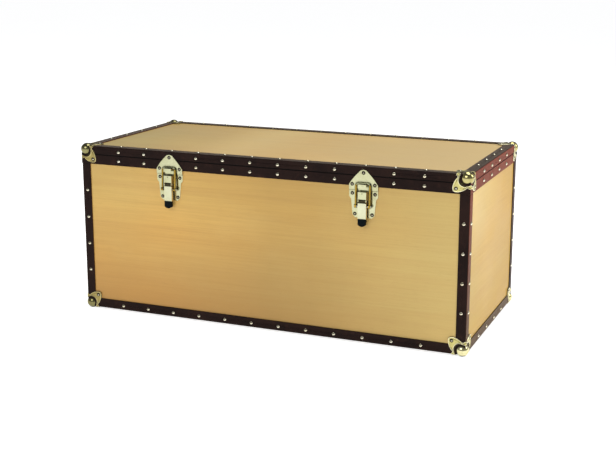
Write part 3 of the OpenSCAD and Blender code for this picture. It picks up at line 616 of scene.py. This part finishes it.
def petal_nails(z):
    """The nails in the upright petals of four corners."""
    places = []
    for x in both(HALF_X - PETAL_NAIL):
        places += [on_front(x, z, PETAL_T), on_back(x, z, PETAL_T)]
    for sign in (-1, 1):
        places += [on_end(sign, y, z, PETAL_T) for y in both(HALF_Y - PETAL_NAIL)]
    return (PETAL_HEAD, places)


LEAF_LEVEL = LEAF_T - EDGING_T

case_plain = []
for x in LONG_X:
    case_plain += [on_front(x, CASE_Z + BAND_NAIL), on_back(x, CASE_Z + BAND_NAIL)]
    case_plain.append(on_back(x, PARTING_Z - LEAF_NAIL, LEAF_LEVEL))
for x in both(HALF_X - EDGING_NAIL):
    for z in POST_Z:
        case_plain += [on_front(x, z), on_back(x, z)]
for sign in (-1, 1):
    case_plain += [on_end(sign, y, CASE_Z + BAND_NAIL) for y in END_Y]
    case_plain += [on_end(sign, y, z) for y in both(HALF_Y - EDGING_NAIL) for z in POST_Z]
heads("case_nails", "case", [(NAIL, case_plain), petal_nails(CASE_Z + PETAL_NAIL)])
heads("case_under_nails", "case", level_nails(on_bottom))

lid_rows = (TOP_Z - BAND_NAIL, TOP_Z - VALANCE_NAIL)
lid_plain = [on_front(x, z) for x in FRONT_X for z in lid_rows]
for x in LONG_X:
    lid_plain.append(on_back(x, TOP_Z - BAND_NAIL))
    lid_plain.append(on_back(x, PARTING_Z + LEAF_NAIL, LEAF_LEVEL))
for sign in (-1, 1):
    lid_plain += [on_end(sign, y, z) for y in END_Y for z in lid_rows]
heads("lid_nails", "lid", [(NAIL, lid_plain), petal_nails(TOP_Z - PETAL_NAIL)])
heads("lid_upper_nails", "lid", level_nails(on_top))


def latch_rivets(level, offsets):
    return [on_front(x + dx, PARTING_Z + dz, level) for x in both(LATCH_X) for dx, dz in offsets]


def stay_rivets(z):
    """Places on the inner side of each end: the outer side of the other end, moved across."""
    level = STAY_INSET - 2 * HALF_X
    return [on_end(-sign, y, z, level) for sign in (-1, 1) for y in STAY_RIVET_Y]


heads("case_rivets", "case", [
    (RIVET, latch_rivets(PLATE_T - EDGING_T, BASE_RIVETS)),
    (FLUSH_RIVET, stay_rivets(PARTING_Z - STAY_RISE)),
])
heads("lid_rivets", "lid", [
    (RIVET, latch_rivets(PLATE_T, STRIKE_RIVETS)),
    (FLUSH_RIVET, stay_rivets(PARTING_Z + STAY_RISE)),
])


# Ball corners: a ball and three petals, with these materials

# The third material paints shade into the crescent between the collar and the ball
FIELD, RIM, CRESCENT_SHADE, BALL = range(4)

# Half of a petal's outline, from the case's edge to the tip, as distances from the two edges
PETAL_HALF = [
    (32.0, 0.0), (31.6, 3.2), (29.2, 6.6), (32.2, 10.2), (35.4, 15.0),
    (37.8, 20.5), (39.4, 26.5), (39.6, 32.5), (37.8, 37.8),
]
# A petal's rows inwards from its outline: inset, height and material
PETAL_ROWS = [
    (0.0, -1.4, RIM), (0.0, 0.75, RIM), (0.3, 1.25, RIM), (0.9, 1.6, RIM), (1.7, 1.6, RIM),
    (2.3, 1.2, FIELD), (2.9, 0.9, FIELD), (4.2, 0.9, FIELD), (4.8, 1.2, FIELD), (5.6, 1.35, FIELD),
]
# Rows from the leaf to the ball and under it: distance from the ball's centre beside the
# edges, how much more of it there is under the leaf, height and material
COLLAR_ROWS = [
    (17.2, 2.9, 1.3, FIELD), (16.5, 2.8, 1.7, RIM), (16.0, 2.7, 1.7, RIM),
    (15.6, 2.6, 1.2, CRESCENT_SHADE), (15.3, 1.8, 0.4, CRESCENT_SHADE), (15.0, 0.6, 0.0, CRESCENT_SHADE),
    (14.4, 0.0, -0.6, CRESCENT_SHADE), (10.3, 0.0, -0.6, CRESCENT_SHADE), (10.3, 0.0, -1.4, CRESCENT_SHADE),
]
LEAF_RISE, LEAF_SHARES = 1.35, (0.33, 0.67)
CURVE_STEPS = 5
# Share of a row's inset at the petal's ends; in the middle it is whole
END_INSET = 0.7
# How far past its equator the ball goes on, in radians
BALL_TUCK = 0.45


def curve(points):
    """A smooth line through the points, which also gives its direction at each place."""
    at, along = [], []
    for a, b, c, d in zip(points, points[1:], points[2:], points[3:]):
        slope = 0.5 * (c - a)
        bend = a - 2.5 * b + 2 * c - 0.5 * d
        twist = 1.5 * (b - c) + 0.5 * (d - a)
        for t in np.linspace(0, 1, CURVE_STEPS, endpoint=False):
            at.append(b + t * slope + t ** 2 * bend + t ** 3 * twist)
            along.append(slope + 2 * t * bend + 3 * t ** 2 * twist)
    return np.array(at), np.array(along)


def petal_outline():
    """The outline over the whole petal and the way inwards at each point of it."""
    half = [np.array(p) for p in PETAL_HALF]
    whole = half + [p[::-1] for p in half[-2::-1]]
    start, end = whole[1] * (1, -1), whole[-2] * (-1, 1)
    at, along = curve([start] + whole + [end])
    at = np.vstack([at, whole[-1]])
    along = np.vstack([along, (-1, 0)])
    across = np.stack([-along[:, 1], along[:, 0]], 1)
    return at, across / np.linalg.norm(along, axis=1)[:, None]


def wrapped(x, y, height):
    """A place on the face, bent half way round the case's rounded edge where it comes to one."""
    place = [x, y, height]
    radius = EDGING_ROUND + height
    for axis in (0, 1):
        if place[axis] < EDGING_ROUND:
            angle = (EDGING_ROUND - place[axis]) / EDGING_ROUND * math.pi / 4
            place[axis] = EDGING_ROUND - radius * math.sin(angle)
            place[2] = radius * math.cos(angle) - EDGING_ROUND
    return Vector(place)


def add_petal(bm, place):
    """A closed petal on the face Z = 0: a rim, a raised leaf and a dark crescent of painted shade
    at the ball.
    """
    outline, inward = petal_outline()
    middle = np.sin(np.linspace(0, math.pi, len(outline)))[:, None]
    share = END_INSET + (1 - END_INSET) * middle
    rows = [(outline + inward * inset * share, height, look) for inset, height, look in PETAL_ROWS]
    collar = []
    for radius, more, height, look in COLLAR_ROWS:
        first = -math.asin(BALL_INSET / radius)
        angle = np.linspace(first, math.pi / 2 - first, len(outline))
        ring = BALL_INSET + (radius + more * middle.T ** 2) * (np.cos(angle), np.sin(angle))
        collar.append((ring.T, height, look))
    outer, inner = rows[-1][0], collar[0][0]
    rows += [(outer * (1 - part) + inner * part, LEAF_RISE, FIELD) for part in LEAF_SHARES]
    rows += collar
    verts = []
    for points, height, _ in rows:
        places = [wrapped(x, y, height) for x, y in np.clip(points, 0, None)]
        verts.append([bm.verts.new(place @ point) for point in places])
    for low, high, row in zip(verts, verts[1:] + verts[:1], rows[1:] + rows[:1]):
        strip(bm, low, high, row[2], False)


# Turns of a petal onto the three faces that meet at a corner
PETAL_FACES = [
    Matrix(((1, 0, 0, 0), (0, 1, 0, 0), (0, 0, -1, 0), (0, 0, 0, 1))),
    Matrix(((0, 0, -1, 0), (1, 0, 0, 0), (0, 1, 0, 0), (0, 0, 0, 1))),
    Matrix(((0, 1, 0, 0), (0, 0, -1, 0), (1, 0, 0, 0), (0, 0, 0, 1))),
]


def ball_corner(name, body, corner, turn, foot):
    """A ball and three petals; turn gives the signs that point from the corner into the case."""
    bm = bmesh.new()
    place = Matrix.Translation(corner) @ Matrix.Diagonal((*turn, 1.0))
    for face in PETAL_FACES:
        add_petal(bm, place @ face)
    outwards = Vector((-1, -1, -1)).to_track_quat("Z", "Y").to_matrix().to_4x4()
    centre = Matrix.Translation((BALL_INSET, BALL_INSET, BALL_INSET))
    ball = []
    for a in np.linspace(-BALL_TUCK, math.pi / 2, BALL_RINGS)[:-1]:
        ball.append((BALL_R * math.cos(a), BALL_R * math.sin(a), BALL))
    ball.append((0, BALL_R, BALL))
    lathe(bm, ball, place @ centre @ outwards, BALL_STEPS)
    if foot:
        for vert in bm.verts:
            vert.co.z = max(vert.co.z, 0.0)
    # Right-hand corners take the lit brass, left-hand ones the copies of painted shade
    on_right = turn[0] < 0
    if on_right:
        looks = [PETAL_BRASS, RIM_BRASS, GROOVE, FOOT_BALL_BRASS if foot else LID_BALL_BRASS]
    else:
        looks = [SHADED_PETAL_BRASS, SHADED_RIM_BRASS, GROOVE, SHADED_BALL_BRASS]
    piece(name + "_dress", bm, looks, body, [name])


for end, sy in (("front", -1), ("back", 1)):
    for side, sx in (("left", -1), ("right", 1)):
        low = Vector((sx * HALF_X, sy * HALF_Y, CASE_Z))
        high = Vector((sx * HALF_X, sy * HALF_Y, TOP_Z))
        ball_corner(f"{end}_{side}_bottom_ball_corner", "case", low, (-sx, -sy, 1), True)
        ball_corner(f"{end}_{side}_lid_ball_corner", "lid", high, (-sx, -sy, -1), False)


# Camera, fitted to the photo's edges and nails: pixels, degrees, metres, shares of the width

IMAGE_W = 616
SENSOR_W = 36
FOCAL_PX = 1138.8
YAW, PITCH, ROLL = (math.radians(a) for a in (21.409, 12.5, 0.2974))
CAMERA_AT = Vector((1.05619, -2.5087, 0.85559))
SHIFT = (-0.03464, -0.0411)
CLIP_END = 500

forward = Vector((
    -math.sin(YAW) * math.cos(PITCH),
    math.cos(YAW) * math.cos(PITCH),
    -math.sin(PITCH),
))
level_right = Vector((math.cos(YAW), math.sin(YAW), 0))
level_up = level_right.cross(forward)
right = level_right * math.cos(ROLL) + level_up * math.sin(ROLL)
up = level_up * math.cos(ROLL) - level_right * math.sin(ROLL)

camera_data = bpy.data.cameras.new("camera")
camera_data.sensor_width = SENSOR_W
camera_data.sensor_fit = "HORIZONTAL"
camera_data.lens = FOCAL_PX / IMAGE_W * SENSOR_W
camera_data.shift_x, camera_data.shift_y = SHIFT
camera_data.clip_end = CLIP_END
camera = bpy.data.objects.new("camera", camera_data)
camera.matrix_world = Matrix((
    (right.x, up.x, -forward.x, CAMERA_AT.x),
    (right.y, up.y, -forward.y, CAMERA_AT.y),
    (right.z, up.z, -forward.z, CAMERA_AT.z),
    (0, 0, 0, 1),
))
scene.collection.objects.link(camera)
scene.camera = camera


# Floor, world and lights

FLOOR_HALF = 60
FLOOR_GLOW = 0.79
WORLD_STRENGTH = 0.40
# The world's brightness from the horizon upwards: height and colour
WORLD_RAMP = [(0.02, (1.0, 1.0, 1.0, 1)), (0.75, (0.42, 0.43, 0.45, 1))]

floor_shader = Shader("floor")
floor_cloud = floor_shader.noise(floor_shader.scaled(0.8, 0.8, 0.8), 2)
floor_colour = floor_shader.mix(floor_cloud, rgb(246, 246, 246), rgb(242, 242, 242))
floor_shader.set(Base_Color=floor_colour, Roughness=0.9, Specular_IOR_Level=0.1)
floor_shader.set(Emission_Color=(1, 1, 1, 1), Emission_Strength=FLOOR_GLOW)
floor_mesh = bpy.data.meshes.new("floor")
floor_signs = ((-1, -1), (1, -1), (1, 1), (-1, 1))
floor_corners = [(x * FLOOR_HALF, y * FLOOR_HALF, 0) for x, y in floor_signs]
floor_mesh.from_pydata(floor_corners, [], [(0, 1, 2, 3)])
floor_mesh.materials.append(floor_shader.material)
floor = bpy.data.objects.new("floor", floor_mesh)
scene.collection.objects.link(floor)

world = bpy.data.worlds.new("studio")
world.use_nodes = True
scene.world = world
tree = world.node_tree
background = tree.nodes["Background"]
direction = tree.nodes.new("ShaderNodeTexCoord")
split = tree.nodes.new("ShaderNodeSeparateXYZ")
tree.links.new(direction.outputs["Generated"], split.inputs[0])
ramp = tree.nodes.new("ShaderNodeValToRGB")
for stop, (position, colour) in zip(ramp.color_ramp.elements, WORLD_RAMP):
    stop.position = position
    stop.color = colour
tree.links.new(split.outputs["Z"], ramp.inputs[0])
tree.links.new(ramp.outputs[0], background.inputs["Color"])
background.inputs["Strength"].default_value = WORLD_STRENGTH


def softbox(name, place, aim, size, power, tint=(1, 1, 1)):
    """An area light in metres and watts that looks at a place."""
    data = bpy.data.lights.new(name, "AREA")
    data.shape = "RECTANGLE"
    data.size, data.size_y = size
    data.energy = power
    data.color = tint
    light = bpy.data.objects.new(name, data)
    light.location = place
    light.rotation_euler = (Vector(aim) - Vector(place)).to_track_quat("-Z", "Y").to_euler()
    scene.collection.objects.link(light)


softbox("key_right", (3.2, 1.2, 1.9), (0.3, 0, 0.2), (1.6, 1.8), 41, (1.0, 0.97, 0.91))
softbox("fill_front", (-0.6, -3.6, 2.6), (0, 0, 0.2), (2.6, 2.0), 54)
softbox("top", (0.5, 0.5, 3.4), (0, 0, 0.2), (3.0, 2.0), 70)

scene.view_settings.view_transform = "Standard"
scene.view_settings.look = "None"
